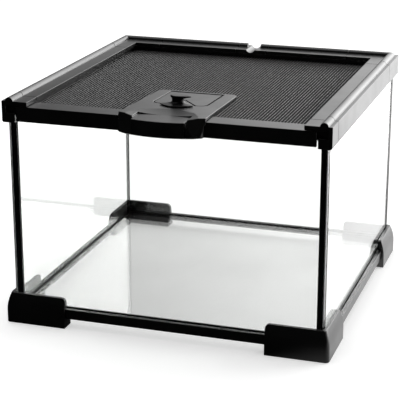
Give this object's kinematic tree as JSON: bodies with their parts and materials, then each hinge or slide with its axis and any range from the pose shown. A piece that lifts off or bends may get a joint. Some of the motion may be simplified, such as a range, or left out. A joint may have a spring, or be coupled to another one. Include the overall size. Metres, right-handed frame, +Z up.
{
  "type": "glass terrarium",
  "caption": "Small glass terrarium with a sliding mesh lid, a hinged feeding hatch with a turning lock, a rear cable inlet and raised corner feet.",
  "frame": {"origin": "on the ground, under the middle of the overall box", "axes": "+Z up; the front, with the lid's handle, faces -Y; +X is to the right seen from the front"},
  "size_m": [0.21, 0.2172, 0.1488],
  "materials": {
    "glass": "clear float glass with plain ground edges",
    "floor_glass": "clear float glass, pale grey-green",
    "satin_black": "satin black moulded plastic",
    "knob_black": "deep black moulded plastic",
    "silicone": "black silicone sealant",
    "mesh_grey": "black-coated woven wire mesh",
    "steel": "bright drawn steel"
  },
  "bodies": {
    "tank": {"front_glass": "glass", "back_glass": "glass", "left_glass": "glass", "right_glass": "glass", "floor_glass": "floor_glass", "seam_front_left": "silicone", "seam_front_right": "silicone", "seam_back_left": "silicone", "seam_back_right": "silicone", "floor_seal_front": "silicone", "floor_seal_back": "silicone", "floor_seal_left": "silicone", "floor_seal_right": "silicone", "base_rail_front": "satin_black", "base_rail_back": "satin_black", "base_rail_left": "satin_black", "base_rail_right": "satin_black", "foot_front_left": "satin_black", "foot_front_right": "satin_black", "foot_back_left": "satin_black", "foot_back_right": "satin_black", "top_rail_left": "satin_black", "top_rail_right": "satin_black", "top_rail_back_left": "satin_black", "top_rail_back_right": "satin_black", "top_corner_front_left": "satin_black", "top_corner_front_right": "satin_black", "top_corner_back_left": "satin_black", "top_corner_back_right": "satin_black", "cable_inlet": "satin_black"},
    "lid": {"lid_front_bar": "satin_black", "lid_runner_left": "satin_black", "lid_runner_right": "satin_black", "lid_back_bar": "satin_black", "mesh_screen": "mesh_grey", "handle_plate": "satin_black", "hatch_pin": "steel"},
    "hatch": {"hatch_door": "satin_black"},
    "knob": {"lock_knob": "knob_black", "lock_cam": "satin_black", "cam_screw": "steel"}
  },
  "joints": [
    {"name": "lid_slide", "type": "slide", "parent": "tank", "child": "lid", "axis": [0, -1, 0], "range_m": [0, 0.17]},
    {"name": "hatch_hinge", "type": "hinge", "parent": "lid", "child": "hatch", "pos_m": [0, -0.0317, 0.13985], "axis": [-1, 0, 0], "range_deg": [0, 95]},
    {"name": "knob_turn", "type": "hinge", "parent": "lid", "child": "knob", "pos_m": [0, -0.06853, 0.14247], "axis": [0, 0.0356, 0.9994], "range_deg": [0, 90]}
  ]
}
